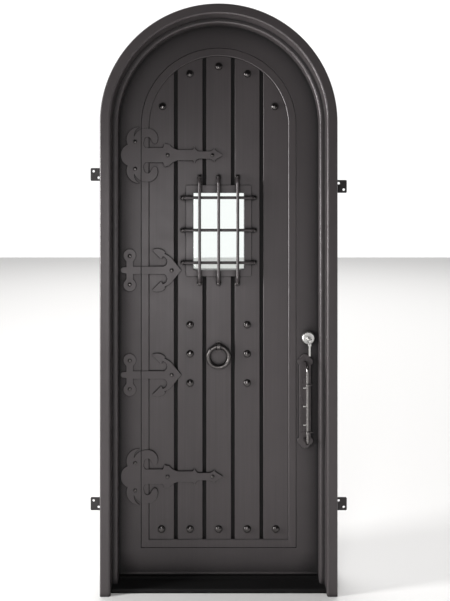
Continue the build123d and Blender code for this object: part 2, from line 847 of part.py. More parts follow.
# Key lying level in the plug, with a split ring and a spare key hanging from its bow
bow_middle = plug_face - key_stand - key_bow_width / 2
bow_hole = bow_middle - key_bow_width / 2 + key_rim + key_hole_diameter / 2
with BuildPart() as key:
    with BuildSketch(level(lock_z - key_thickness / 2)):
        with Locations((lock_x, y_at(bow_middle))):
            Circle(key_bow_width / 2)
        with Locations((lock_x, y_at(plug_face - key_stand / 2 - key_rim / 2))):
            Rectangle(key_blade_width, key_stand + key_rim)
        with Locations((lock_x, y_at(bow_hole))):
            Circle(key_hole_diameter / 2, mode=Mode.SUBTRACT)
    extrude(amount=key_thickness)
write(key.part, "key")

ring_radius = (key_ring_diameter - key_ring_wire) / 2
ring_y = y_at(bow_middle - key_bow_width / 2 + key_rim / 2)
ring_top = lock_z + key_thickness / 2 + key_clearance + key_ring_wire / 2
ring_middle_z = ring_top - ring_radius
spare_hole_z = ring_middle_z - ring_radius + key_ring_wire / 2 + key_clearance - spare_hole_diameter / 2
spare_top = spare_hole_z + spare_hole_diameter / 2 + 2
with BuildPart() as spare_key:
    with BuildSketch(Plane.XZ.offset(-ring_y)):
        with Locations((lock_x, ring_top)):
            Circle(key_ring_wire / 2)
    revolve(axis=Axis((lock_x, ring_y, ring_middle_z), (1, 0, 0)), revolution_arc=360)
    with BuildSketch(Plane.XZ.offset(key_thickness / 2 - ring_y - key_thickness)):
        with Locations((lock_x, spare_top - spare_key_bow / 2)):
            Circle(spare_key_bow / 2)
        with Locations((lock_x, spare_top - (spare_key_length + spare_key_bow / 2) / 2)):
            Rectangle(key_blade_width, spare_key_length - spare_key_bow / 2)
        with Locations((lock_x, spare_hole_z)):
            Circle(spare_hole_diameter / 2, mode=Mode.SUBTRACT)
    extrude(amount=key_thickness)
write(spare_key.part, "spare_key_and_ring")

bolt_rest = leaf_half - bolt_fit
with BuildPart() as lock_case:
    with BuildSketch(Plane.YZ.offset(leaf_half - case_width)):
        with Locations((y_at(bolt_depth), lock_z)):
            Rectangle(case_depth, case_height)
    extrude(amount=case_width)
    with BuildSketch(Plane.YZ.offset(bolt_rest - bolt_length - 2)):
        with Locations((y_at(bolt_depth), lock_z)):
            Rectangle(bolt_thickness + 2 * bolt_fit, bolt_height + 2 * bolt_fit)
    extrude(amount=bolt_length + 20, mode=Mode.SUBTRACT)
    with BuildSketch(facing(bolt_depth + case_depth)):
        with Locations((lock_x, lock_z)):
            Circle(plug_diameter / 2 + turning_fit)
    extrude(amount=2 * case_depth, mode=Mode.SUBTRACT)
write(lock_case.part, "lock_case")

with BuildPart() as lock_bolt:
    with BuildSketch(Plane.YZ.offset(bolt_rest - bolt_length)):
        with Locations((y_at(bolt_depth), lock_z)):
            Rectangle(bolt_thickness, bolt_height)
    extrude(amount=bolt_length)
    chamfer(lock_bolt.edges().group_by(Axis.X)[-1], 1.5)
write(lock_bolt.part, "lock_bolt")

turn_rose_thickness = 6.0
with BuildPart() as turn_rose:
    with BuildSketch(facing(leaf_back + turn_rose_thickness)):
        with Locations((lock_x, lock_z)):
            Circle(rose_diameter / 2)
            Circle(plug_diameter / 2 + turning_fit, mode=Mode.SUBTRACT)
    extrude(amount=turn_rose_thickness)
    chamfer(turn_rose.edges().filter_by(GeomType.CIRCLE).sort_by(SortBy.RADIUS)[-2:].sort_by(Axis.Y)[-1], 2)
write(turn_rose.part, "turn_rose")

turn_stand = 16.0
with BuildPart() as thumb_turn:
    with BuildSketch(facing(leaf_back + turn_rose_thickness + 4)):
        with Locations((lock_x, lock_z)):
            Circle(plug_diameter / 2)
    extrude(amount=leaf_back + turn_rose_thickness + 4 - bolt_depth - bolt_thickness / 2 - 2 * bolt_fit)
    with BuildSketch(facing(leaf_back + turn_rose_thickness + turn_stand)) as turn_wing:
        with Locations((lock_x, lock_z)):
            SlotOverall(42, 10, rotation=90)
    extrude(amount=turn_stand - 2)
write(thumb_turn.part, "thumb_turn")


# Pull handle: a lobed back plate and a bent round grip with collars
def pull_plate_outline():
    """Back plate with a rounded bump and two side lobes at each end, and a plain waist."""
    half_length = (pull_top - pull_bottom) / 2
    end = pull_end_width / 2
    lobe_reach = pull_lobe_width / 2 - pull_lobe_radius
    lobe_level = half_length - pull_lobe_drop
    with BuildSketch() as outline:
        Rectangle(pull_waist_width, 2 * lobe_level)
        Rectangle(pull_end_width, 2 * (half_length - end))
        for side in (-1, 1):
            with Locations((0, side * (half_length - end))):
                Circle(end)
            with Locations((-lobe_reach, side * lobe_level), (lobe_reach, side * lobe_level)):
                Circle(pull_lobe_radius)
    return outline.sketch


def pull_plate(depth, facing_side):
    """Back plate with its back at a depth; facing_side is -1 outside and 1 inside."""
    origin = (pull_x, y_at(depth), (pull_top + pull_bottom) / 2)
    with BuildPart() as plate:
        with BuildSketch(Plane(origin, x_dir=(1, 0, 0), z_dir=(0, facing_side, 0))):
            add(pull_plate_outline())
        extrude(amount=pull_plate_thickness)
        chamfer(plate.faces().sort_by(Axis.Y)[0 if facing_side < 0 else -1].edges(), 1.2)
    return plate.part


def pull_grip(depth, facing_side):
    """Round grip on two feet that start at a depth."""
    foot = y_at(depth)
    line = foot + facing_side * grip_stand_off
    with BuildPart() as grip:
        with BuildLine():
            FilletPolyline(
                (pull_x, foot, grip_bottom),
                (pull_x, line, grip_bottom),
                (pull_x, line, grip_top),
                (pull_x, foot, grip_top),
                radius=grip_bend,
            )
        with BuildSketch(Plane((pull_x, foot, grip_bottom), z_dir=(0, facing_side, 0))):
            Circle(grip_diameter / 2)
        sweep()
        for height in collar_levels:
            with BuildSketch(Plane.XY.offset(height - collar_height / 2)):
                with Locations((pull_x, line)):
                    Circle(collar_diameter / 2)
            extrude(amount=collar_height)
            # Thorn drawn out of the collar towards the lock side
            with BuildSketch(Plane.YZ.offset(pull_x + grip_diameter / 2)):
                with Locations((line, height)):
                    Circle(collar_height / 2 - 0.5)
            extrude(amount=thorn_length, taper=8)
    return grip.part


write(pull_plate(leaf_depth, -1), "pull_plate_outside")
write(pull_plate(leaf_back, 1), "pull_plate_inside")
outside_grip_start = leaf_depth - pull_plate_thickness
inside_grip_start = leaf_back + pull_plate_thickness
write(pull_grip(outside_grip_start, -1), "pull_grip_outside")
write(pull_grip(inside_grip_start, 1), "pull_grip_inside")

# Bright pegs on the hinge side of the outside grip
grip_line = y_at(outside_grip_start - grip_stand_off)
with BuildPart() as pull_pegs:
    with BuildSketch(Plane.YZ.offset(pull_x - grip_diameter / 2)):
        with Locations([(grip_line, z) for z in peg_levels]):
            Circle(peg_diameter / 2)
    extrude(amount=-peg_length)
write(pull_pegs.part, "pull_pegs")

# Barrel hinges on the inside: a frame half below, a leaf half above, a washer and a pin
hinge_x = -(rebate_half - hinge_offset)
hinge_depth = frame_depth + barrel_clearance + barrel_diameter / 2
half_barrel = (barrel_length - washer_thickness) / 2 - washer_fit


def barrel_half(height, outward, plate_depth):
    """One half of a hinge: a bored barrel on a plate that reaches over the frame or the leaf."""
    with BuildPart() as half:
        with BuildSketch(level(height)):
            with Locations((hinge_x, y_at(hinge_depth))):
                Circle(barrel_diameter / 2)
            with BuildLine():
                Polyline(
                    (hinge_x, y_at(hinge_depth) + barrel_diameter / 2 - 2),
                    (hinge_x + outward * hinge_plate_reach, y_at(plate_depth) + hinge_plate),
                    (hinge_x + outward * hinge_plate_reach, y_at(plate_depth)),
                    (hinge_x + outward * barrel_diameter / 2, y_at(plate_depth)),
                    (hinge_x, y_at(hinge_depth)),
                    close=True,
                )
            make_face()
            with Locations((hinge_x, y_at(hinge_depth))):
                Circle(hinge_pin_diameter / 2 + pin_fit, mode=Mode.SUBTRACT)
        extrude(amount=half_barrel)
    return half.part


with BuildPart() as hinge_frame_halves:
    for height in hinge_levels:
        add(barrel_half(height - barrel_length / 2, -1, frame_depth))
write(hinge_frame_halves.part, "hinge_frame_halves")

with BuildPart() as hinge_leaf_halves:
    for height in hinge_levels:
        add(barrel_half(height + barrel_length / 2 - half_barrel, 1, leaf_back))
write(hinge_leaf_halves.part, "hinge_leaf_halves")

with BuildPart() as hinge_pins_and_washers:
    for height in hinge_levels:
        with BuildSketch(level(height - barrel_length / 2)):
            with Locations((hinge_x, y_at(hinge_depth))):
                Circle(hinge_pin_diameter / 2)
        extrude(amount=barrel_length)
        with BuildSketch(level(height - barrel_length / 2 - hinge_pin_head)):
            with Locations((hinge_x, y_at(hinge_depth))):
                Circle(barrel_diameter / 2 - 1.5)
        extrude(amount=hinge_pin_head)
        with BuildSketch(level(height - washer_thickness / 2)):
            with Locations((hinge_x, y_at(hinge_depth))):
                Circle(barrel_diameter / 2)
                Circle(hinge_pin_diameter / 2 + pin_fit, mode=Mode.SUBTRACT)
        extrude(amount=washer_thickness)
write(hinge_pins_and_washers.part, "hinge_pins_and_washers")

# Glazed casement that closes on the inside of the window
casement_width = window_width + 2 * casement_overlap
casement_height = window_height + 2 * casement_overlap
casement_front = leaf_back + casement_seal
casement_back = casement_front + casement_thickness
glass_width = casement_width - 2 * casement_rail
glass_height = casement_height - 2 * casement_rail
glazing_lap = 8.0

with BuildPart() as window_seal:
    with BuildSketch(facing(casement_front - seal_clearance)):
        with Locations((0, window_z)):
            Rectangle(casement_width - 6, casement_height - 6)
            Rectangle(window_width + 2 * sleeve_wall, window_height + 2 * sleeve_wall, mode=Mode.SUBTRACT)
    extrude(amount=casement_seal - seal_clearance)
write(window_seal.part, "window_seal")

glass_middle = (casement_front + casement_back) / 2
with BuildPart() as casement_frame:
    with BuildSketch(facing(casement_back)):
        with Locations((0, window_z)):
            Rectangle(casement_width, casement_height)
            Rectangle(glass_width, glass_height, mode=Mode.SUBTRACT)
    extrude(amount=casement_thickness)
    with BuildSketch(facing(glass_middle + glass_thickness / 2 + glass_fit)):
        with Locations((0, window_z)):
            Rectangle(glass_width + 2 * glazing_lap, glass_height + 2 * glazing_lap)
    extrude(amount=glass_thickness + 2 * glass_fit, mode=Mode.SUBTRACT)
write(casement_frame.part, "casement_frame")

with BuildPart() as casement_glass:
    with BuildSketch(facing(glass_middle + glass_thickness / 2)):
        with Locations((0, window_z)):
            Rectangle(glass_width + 2 * glazing_lap - 2 * glass_fit, glass_height + 2 * glazing_lap - 2 * glass_fit)
    extrude(amount=glass_thickness)
write(casement_glass.part, "casement_glass")

# Casement hinges: barrels at its hinge-side edge, halves below on the leaf and above on the casement
casement_hinge_x = -casement_width / 2 - casement_barrel / 2 - 1
casement_hinge_depth = casement_back - casement_barrel / 2 + 2
casement_hinge_levels = [window_z - casement_height / 2 + 60, window_z + casement_height / 2 - 60]
casement_half_barrel = casement_barrel_length / 2 - washer_fit


def casement_half(height, plate_start, plate_end, plate_depth):
    """One half of a casement hinge, its plate lying on the leaf or on the casement."""
    with BuildPart() as half:
        with BuildSketch(level(height)):
            with Locations((casement_hinge_x, y_at(casement_hinge_depth))):
                Circle(casement_barrel / 2)
            with BuildLine():
                Polyline(
                    (casement_hinge_x, y_at(casement_hinge_depth)),
                    (plate_start, y_at(plate_depth)),
                    (plate_end, y_at(plate_depth)),
                    (plate_end, y_at(plate_depth) + casement_plate),
                    (casement_hinge_x, y_at(casement_hinge_depth) + casement_barrel / 2 - 1),
                    close=True,
                )
            make_face()
            with Locations((casement_hinge_x, y_at(casement_hinge_depth))):
                Circle(casement_pin_diameter / 2 + pin_fit, mode=Mode.SUBTRACT)
        extrude(amount=casement_half_barrel)
    return half.part


with BuildPart() as casement_hinge_leaf_halves:
    for height in casement_hinge_levels:
        start = casement_hinge_x - casement_barrel
        end = casement_hinge_x - casement_plate_reach
        add(casement_half(height - casement_barrel_length / 2, start, end, leaf_back))
write(casement_hinge_leaf_halves.part, "casement_hinge_leaf_halves")

with BuildPart() as casement_hinge_halves:
    for height in casement_hinge_levels:
        start = -casement_width / 2
        end = casement_hinge_x + casement_plate_reach
        add(casement_half(height + casement_barrel_length / 2 - casement_half_barrel, start, end, casement_back))
write(casement_hinge_halves.part, "casement_hinge_halves")

with BuildPart() as casement_pins:
    for height in casement_hinge_levels:
        with BuildSketch(level(height - casement_barrel_length / 2)):
            with Locations((casement_hinge_x, y_at(casement_hinge_depth))):
                Circle(casement_pin_diameter / 2)
        extrude(amount=casement_barrel_length)
        with BuildSketch(level(height - casement_barrel_length / 2 - 1.5)):
            with Locations((casement_hinge_x, y_at(casement_hinge_depth))):
                Circle(casement_barrel / 2 - 1)
        extrude(amount=1.5)
write(casement_pins.part, "casement_pins")

# Turn button that holds the casement shut, on a post beside it; it stands upright when undone
latch_x = casement_width / 2 + latch_width
latch_front = casement_back + latch_clearance
with BuildPart() as latch_post:
    with BuildSketch(facing(latch_front - latch_clearance)):
        with Locations((latch_x, window_z)):
            Circle(latch_width / 2)
    extrude(amount=latch_front - latch_clearance - leaf_back)
    with BuildSketch(facing(latch_front + latch_thickness)):
        with Locations((latch_x, window_z)):
            Circle(latch_pin_diameter / 2)
    extrude(amount=latch_thickness + latch_clearance)
write(latch_post.part, "latch_post")

with BuildPart() as latch_button:
    with BuildSketch(facing(latch_front + latch_thickness)):
        with Locations((latch_x, window_z + (latch_length - latch_width) / 2)):
            SlotOverall(latch_length, latch_width, rotation=90)
        with Locations((latch_x, window_z)):
            Circle(latch_pin_diameter / 2 + pin_fit, mode=Mode.SUBTRACT)
    extrude(amount=latch_thickness)
write(latch_button.part, "latch_button")
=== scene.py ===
from math import pi, radians

import bmesh
import bpy
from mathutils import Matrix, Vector


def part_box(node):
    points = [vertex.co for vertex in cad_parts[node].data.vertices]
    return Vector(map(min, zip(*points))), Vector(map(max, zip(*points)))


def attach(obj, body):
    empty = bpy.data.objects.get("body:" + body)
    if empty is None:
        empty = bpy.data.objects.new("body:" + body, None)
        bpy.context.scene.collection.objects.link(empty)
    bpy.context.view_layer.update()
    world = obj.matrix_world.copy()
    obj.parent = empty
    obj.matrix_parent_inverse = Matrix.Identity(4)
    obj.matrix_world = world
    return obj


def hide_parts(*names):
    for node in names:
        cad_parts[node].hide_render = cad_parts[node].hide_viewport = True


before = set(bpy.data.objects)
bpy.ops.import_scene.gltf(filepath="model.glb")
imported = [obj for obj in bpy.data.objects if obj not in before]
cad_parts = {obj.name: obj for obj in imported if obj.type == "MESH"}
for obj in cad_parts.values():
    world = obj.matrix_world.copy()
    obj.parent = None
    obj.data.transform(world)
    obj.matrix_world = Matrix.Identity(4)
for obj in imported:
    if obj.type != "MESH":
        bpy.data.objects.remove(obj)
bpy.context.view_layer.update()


# Jambs, arched head and threshold: the frame that is screwed into the wall. It is folded
# from 2.5 mm steel sheet, welded at the springing and at the feet, ground smooth and
# sprayed with a satin bronze-black enamel, which leaves a fine orange peel.
def feed(tree, node, inputs):
    """Links a node's inputs, by name or number, to other nodes, or sets their values."""
    for key, value in inputs.items():
        if isinstance(value, bpy.types.NodeSocket):
            tree.links.new(value, node.inputs[key])
        else:
            node.inputs[key].default_value = value


def wire(tree, kind, settings, inputs):
    """Adds a node, sets its properties and feeds its inputs."""
    node = tree.nodes.new(kind)
    for key, value in settings.items():
        setattr(node, key, value)
    feed(tree, node, inputs)
    return node


def noise(tree, place, **inputs):
    """Cloudy noise that follows a place."""
    return wire(tree, "ShaderNodeTexNoise", {}, {"Vector": place, **inputs}).outputs["Fac"]


def ranged(tree, value, low, high, start=0.0, end=1.0, easing="LINEAR"):
    """A value that runs from start to end, made to run from low to high."""
    limits = {"Value": value, "From Min": start, "From Max": end, "To Min": low, "To Max": high}
    return wire(tree, "ShaderNodeMapRange", {"interpolation_type": easing}, limits).outputs[0]


def shade(color, share):
    """A colour made darker or lighter."""
    return [channel * share for channel in color] + [1.0]


def blend(tree, share, first, second):
    """One colour passing into another."""
    return wire(tree, "ShaderNodeMix", {"data_type": "RGBA"}, {0: share, 6: first, 7: second}).outputs[2]


def eased(tree, radius):
    """The surface's direction with its edges rounded off."""
    return wire(tree, "ShaderNodeBevel", {"samples": 6}, {"Radius": radius}).outputs[0]


def relief(tree, height, **inputs):
    """The surface's direction with a fine relief on it."""
    return wire(tree, "ShaderNodeBump", {}, {"Height": height, **inputs}).outputs[0]


def new_finish(name):
    """An empty material, its tree, its shader, and the place on the piece that patterns follow."""
    finish = bpy.data.materials.new(name)
    finish.use_nodes = True
    tree = finish.node_tree
    place = wire(tree, "ShaderNodeTexCoord", {}, {}).outputs["Object"]
    return finish, tree, tree.nodes["Principled BSDF"], place


def enamel(name, color, roughness, peel, hammer=0.0, streaks=0.0, edge=0.0012, crease=0.035,
           gleam=0.5, metal=0.0, painted_shade_start=0.42):
    """A satin enamel with painted shade: ambient occlusion blends its colour to near-black in the creases and
    makes it matt there.
    """
    # painted shade: the near-black colour and matt roughness given to the creases
    painted_shade_black, crease_roughness = (0.004, 0.004, 0.004, 1.0), 0.95
    finish, tree, shader, place = new_finish(name)
    cloud = noise(tree, place, Scale=2.6, Detail=6.0, Roughness=0.62)
    tint = blend(tree, cloud, shade(color, 0.80), shade(color, 1.20))
    if streaks:
        along = wire(tree, "ShaderNodeMapping", {}, {"Vector": place, "Scale": (150.0, 150.0, 2.2)})
        grain = noise(tree, along.outputs[0], Scale=1.0, Detail=4.0)
        span = ranged(tree, grain, 1.0 - streaks, 1.0 + streaks, start=0.25, end=0.75)
        tint = wire(tree, "ShaderNodeVectorMath", {"operation": "SCALE"},
                    {0: tint, "Scale": span}).outputs[0]
    open_air = wire(tree, "ShaderNodeAmbientOcclusion", {"samples": 8}, {"Distance": crease}).outputs["AO"]
    # painted shade: ambient occlusion blends the colour to near-black in creases, in recesses and round the
    # foot of raised parts
    painted_crease_shade = ranged(tree, open_air, 0.0, 1.0, start=painted_shade_start, end=0.95, easing="SMOOTHSTEP")
    gloss = noise(tree, place, Scale=19.0, Detail=3.0)
    satin = ranged(tree, gloss, roughness - 0.07, roughness + 0.07)
    sheen = wire(tree, "ShaderNodeMix", {}, {0: painted_crease_shade, 2: crease_roughness, 3: satin}).outputs[0]
    grit = noise(tree, place, Scale=620.0, Detail=2.0)
    skin = relief(tree, grit, Strength=peel, Distance=0.0004, Normal=eased(tree, edge))
    if hammer:
        blows = wire(tree, "ShaderNodeTexVoronoi", {"feature": "SMOOTH_F1"},
                     {"Vector": place, "Scale": 95.0, "Smoothness": 0.6}).outputs["Distance"]
        skin = relief(tree, blows, Strength=hammer, Distance=0.0012, Normal=skin)
    feed(tree, shader, {"Base Color": blend(tree, painted_crease_shade, painted_shade_black, tint), "Roughness": sheen,
                        "Normal": skin, "Specular Tint": (1.0, 0.95, 0.965, 1.0),
                        "Specular IOR Level": gleam, "Metallic": metal})
    return finish


def dress(node, finish):
    """Gives a CAD node its finish."""
    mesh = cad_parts[node].data
    mesh.materials.clear()
    mesh.materials.append(finish)


bronze_black = (0.048, 0.042, 0.043)
foot_black = (0.005, 0.005, 0.005)
frame_enamel = enamel("frame enamel", bronze_black, roughness=0.34, peel=0.22, crease=0.025)
# The threshold has a near-black, rougher enamel of its own, much darker than the jambs.
threshold_enamel = enamel("threshold enamel", foot_black, roughness=0.62, peel=0.22, gleam=0.2)
for node in ("jamb_hinge_side", "jamb_lock_side", "arch_head"):
    dress(node, frame_enamel)
dress("threshold", threshold_enamel)


# Wall anchors: two punched tabs of 3 mm flat steel on each jamb, welded on in its depth and
# sprayed a plain black. Two screws through each hold the frame to the wall.
anchor_black = (0.018, 0.016, 0.016)
anchor_enamel = enamel("anchor enamel", anchor_black, roughness=0.46, peel=0.30, edge=0.0006)
for node in ("anchors_hinge_side", "anchors_lock_side"):
    dress(node, anchor_enamel)


# Frame seal: a black rubber strip that is pressed on to the stop all round the opening.
# The leaf closes against it. The rubber is matt, with a fine bloom.
rubber_black = (0.012, 0.012, 0.012)
seal_rubber, tree, shader, place = new_finish("seal rubber")
bloom = noise(tree, place, Scale=45.0, Detail=5.0)
pores = noise(tree, place, Scale=1400.0)
feed(tree, shader, {"Base Color": blend(tree, bloom, shade(rubber_black, 1.0), shade(rubber_black, 1.8)),
                    "Normal": relief(tree, pores, Strength=0.25, Distance=0.0002), "Roughness": 0.78})
dress("frame_seal", seal_rubber)


# Strike plate: brushed sheet steel let into the lock jamb, round the hole that the bolt is
# thrown into, with a countersunk screw above and below the hole.
def bare_steel(name, color, roughness, fineness):
    """Machined or drawn steel with fine marks that run upwards."""
    finish, tree, shader, place = new_finish(name)
    length_of_mark = 40.0
    spacing = (fineness, fineness, fineness / length_of_mark)
    drawn = wire(tree, "ShaderNodeMapping", {}, {"Vector": place, "Scale": spacing})
    marks = noise(tree, drawn.outputs[0], Scale=1.0, Detail=5.0)
    feed(tree, shader, {
        "Base Color": blend(tree, marks, shade(color, 0.86), shade(color, 1.0)),
        "Roughness": ranged(tree, marks, roughness - 0.08, roughness + 0.10),
        "Normal": relief(tree, marks, Strength=0.12, Distance=0.0002, Normal=eased(tree, 0.0004)),
        "Metallic": 1.0})
    return finish


def reckon(tree, operation, first, second):
    """One step of arithmetic in a tree."""
    return wire(tree, "ShaderNodeMath", {"operation": operation}, {0: first, 1: second}).outputs[0]


def triple(tree, x=0.0, y=0.0, z=0.0):
    """Three numbers as one place, size or turn."""
    return wire(tree, "ShaderNodeCombineXYZ", {}, {0: x, 1: y, 2: z}).outputs[0]


def begin_fixings(name, sizes, turns=()):
    """A tree that sets fixings on points, with a named input for each size and turn."""
    tree = bpy.data.node_groups.new(name, "GeometryNodeTree")
    labels = [("Seats", "Geometry")] + [(size, "Float") for size in sizes]
    labels += [(turn, "Vector") for turn in turns] + [("Finish", "Material")]
    for label, kind in labels:
        tree.interface.new_socket(label, in_out="INPUT", socket_type="NodeSocket" + kind)
    tree.interface.new_socket("Fixings", in_out="OUTPUT", socket_type="NodeSocketGeometry")
    return tree, tree.nodes.new("NodeGroupInput").outputs


def end_fixings(tree, geometry, finish):
    """Makes what a tree has placed into real faces with their finish on."""
    real = wire(tree, "GeometryNodeRealizeInstances", {}, {0: geometry})
    finished = wire(tree, "GeometryNodeSetMaterial", {}, {0: real.outputs[0], "Material": finish})
    tree.links.new(finished.outputs[0], tree.nodes.new("NodeGroupOutput").inputs[0])
    return tree


def screw_tree():
    """Countersunk heads: a flat disc with a chamfered rim and a sunk cross on every point."""
    rim_share, cross_rise, widest_turn = 0.42, 0.8, 1.5
    tree, given = begin_fixings("countersunk screws", ("Head diameter", "Head height", "Slot width"),
                                turns=("Facing",))
    height, slot = given["Head height"], given["Slot width"]
    foot = reckon(tree, "MULTIPLY", given["Head diameter"], 0.5)
    rim = reckon(tree, "MULTIPLY", given["Head diameter"], rim_share)
    head = wire(tree, "GeometryNodeMeshCone", {},
                {"Vertices": 28, "Radius Top": rim, "Radius Bottom": foot, "Depth": height})
    cut = wire(tree, "GeometryNodeMeshBoolean", {"operation": "DIFFERENCE"}, {"Mesh 1": head.outputs[0]})
    rise = triple(tree, z=reckon(tree, "MULTIPLY", height, cross_rise))
    for size in (triple(tree, rim, slot, height), triple(tree, slot, rim, height)):
        bar = wire(tree, "GeometryNodeMeshCube", {}, {"Size": size})
        raised = wire(tree, "GeometryNodeTransform", {}, {0: bar.outputs[0], "Translation": rise})
        tree.links.new(raised.outputs[0], cut.inputs["Mesh 2"])
    spin = wire(tree, "FunctionNodeRandomValue", {"data_type": "FLOAT"},
                {"Min": 0.0, "Max": widest_turn, "Seed": 5})
    turned = wire(tree, "FunctionNodeRotateEuler", {"space": "LOCAL"},
                  {0: given["Facing"], 1: triple(tree, z=spin.outputs[1])})
    placed = wire(tree, "GeometryNodeInstanceOnPoints", {},
                  {"Points": given["Seats"], "Instance": cut.outputs[0], "Rotation": turned.outputs[0]})
    return end_fixings(tree, placed.outputs[0], given["Finish"])


def grow(name, tree, points, values, body, stands_for=None, crease=30.0):
    """Runs a tree on a set of points and keeps the result as one plain piece of a body."""
    seats = bpy.data.meshes.new(name)
    seats.from_pydata(points, [], [])
    piece = bpy.data.objects.new(name, seats)
    bpy.context.collection.objects.link(piece)
    maker = piece.modifiers.new(name, "NODES")
    maker.node_group = tree
    inputs = [item for item in tree.interface.items_tree if item.in_out == "INPUT"]
    identifiers = {item.name: item.identifier for item in inputs}
    for label, value in values.items():
        maker[identifiers[label]] = value
    graph = bpy.context.evaluated_depsgraph_get()
    solid = bpy.data.meshes.new_from_object(piece.evaluated_get(graph))
    piece.modifiers.clear()
    piece.data = solid
    solid.shade_smooth()
    solid.set_sharp_from_angle(angle=radians(crease))
    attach(piece, body)
    if stands_for:
        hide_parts(stands_for)


strike_steel = bare_steel("strike steel", (0.52, 0.51, 0.49), roughness=0.30, fineness=1500.0)
dress("strike_plate", strike_steel)
screws = screw_tree()
strike_screw_inset = 0.010
strike_low, strike_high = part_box("strike_plate")
strike_depth = (strike_low[1] + strike_high[1]) / 2
strike_levels = (strike_low[2] + strike_screw_inset, strike_high[2] - strike_screw_inset)
grow("strike_screws", screws, [(strike_low[0], strike_depth, z) for z in strike_levels],
     {"Head diameter": 0.0085, "Head height": 0.0006, "Slot width": 0.0010,
      "Facing": (0.0, -pi / 2, 0.0), "Finish": strike_steel}, "frame")


# Hinges: four barrel hinges on the inside. Each half is a bored steel barrel on a plate that is
# welded down, the frame's half below and the leaf's above, with a plain steel pin and washer.
merge_distance = 0.00002


def refine(node, body, finish, edge, crease=28.0):
    """A welded copy that stands for a node, its edges eased by a width and its flats shaded flat."""
    work = bmesh.new()
    work.from_mesh(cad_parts[node].data)
    bmesh.ops.remove_doubles(work, verts=work.verts, dist=merge_distance)
    bmesh.ops.dissolve_limit(work, angle_limit=radians(0.4), verts=work.verts, edges=work.edges)
    mesh = bpy.data.meshes.new(node + "_piece")
    work.to_mesh(mesh)
    work.free()
    piece = bpy.data.objects.new(node + "_piece", mesh)
    bpy.context.collection.objects.link(piece)
    mesh.shade_smooth()
    if edge:
        ease = piece.modifiers.new("Eased edges", "BEVEL")
        ease.width = edge
        ease.segments = 2
        ease.limit_method = "ANGLE"
        ease.angle_limit = radians(crease)
        ease.miter_outer = "MITER_ARC"
        level = piece.modifiers.new("Flat faces shade flat", "WEIGHTED_NORMAL")
        level.mode = "FACE_AREA_WITH_ANGLE"
        level.weight = 60
    graph = bpy.context.evaluated_depsgraph_get()
    baked = bpy.data.meshes.new_from_object(piece.evaluated_get(graph))
    piece.modifiers.clear()
    piece.data = baked
    baked.materials.clear()
    baked.materials.append(finish)
    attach(piece, body)
    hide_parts(node)


def weld_tree():
    """Welds: a vertical ripple of overlapping round beads on every point."""
    tree, given = begin_fixings("weld beads", ("Length", "Width", "Pitch"))
    top = reckon(tree, "MULTIPLY", given["Length"], 0.5)
    foot = reckon(tree, "MULTIPLY", top, -1.0)
    line = wire(tree, "GeometryNodeCurvePrimitiveLine", {},
                {"Start": triple(tree, z=foot), "End": triple(tree, z=top)})
    steps = wire(tree, "GeometryNodeCurveToPoints", {"mode": "LENGTH"},
                 {0: line.outputs[0], "Length": given["Pitch"]})
    bead = wire(tree, "GeometryNodeMeshIcoSphere", {}, {"Radius": 1.0, "Subdivisions": 2})
    share = wire(tree, "FunctionNodeRandomValue", {"data_type": "FLOAT"},
                 {"Min": 0.42, "Max": 0.56, "Seed": 11})
    radius = reckon(tree, "MULTIPLY", given["Width"], share.outputs[1])
    row = wire(tree, "GeometryNodeInstanceOnPoints", {},
               {"Points": steps.outputs[0], "Instance": bead.outputs[0], "Scale": radius})
    run = wire(tree, "GeometryNodeRealizeInstances", {}, {0: row.outputs[0]})
    placed = wire(tree, "GeometryNodeInstanceOnPoints", {},
                  {"Points": given["Seats"], "Instance": run.outputs[0]})
    return end_fixings(tree, placed.outputs[0], given["Finish"])


def solids_of(node):
    """Lowest and highest corner of each separate solid in a node, lowest first."""
    work = bmesh.new()
    work.from_mesh(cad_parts[node].data)
    bmesh.ops.remove_doubles(work, verts=work.verts, dist=merge_distance)
    waiting = set(work.verts)
    found = []
    while waiting:
        island = [waiting.pop()]
        for vert in island:
            for link in vert.link_edges:
                near = link.other_vert(vert)
                if near in waiting:
                    waiting.remove(near)
                    island.append(near)
        low = Vector(min(vert.co[axis] for vert in island) for axis in range(3))
        high = Vector(max(vert.co[axis] for vert in island) for axis in range(3))
        found.append((low, high))
    work.free()
    return sorted(found, key=lambda solid: (round(solid[0].z, 4), round(solid[0].x, 4)))


hinge_enamel = enamel("hinge enamel", bronze_black, roughness=0.38, peel=0.20, edge=0.0010)
pin_steel = bare_steel("pin steel", (0.50, 0.49, 0.47), roughness=0.28, fineness=1800.0)
refine("hinge_frame_halves", "frame", hinge_enamel, edge=0.0008)
refine("hinge_leaf_halves", "leaf", hinge_enamel, edge=0.0008)
dress("hinge_pins_and_washers", pin_steel)

welds = weld_tree()
weld_shape = {"Length": 0.048, "Width": 0.0052, "Pitch": 0.0021, "Finish": hinge_enamel}
frame_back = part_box("jamb_hinge_side")[1][1]
leaf_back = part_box("inner_skin")[1][1]
low_edge, high_edge = 0, 1
for node, body, back, far_edge in (("hinge_frame_halves", "frame", frame_back, low_edge),
                                   ("hinge_leaf_halves", "leaf", leaf_back, high_edge)):
    seats = [(plate[far_edge].x, back, (plate[0].z + plate[1].z) / 2) for plate in solids_of(node)]
    grow(node + "_welds", welds, seats, weld_shape, body, crease=60.0)


# Leaf: tube stiles, an arched tube rail and a bottom rail, with a sheet welded over the inside
# and a bent edge plate over the outside. Its colour is the frame's made darker, as painted shade for the leaf
# set deep in the frame.
leaf_shaded_black = (0.040, 0.035, 0.036)
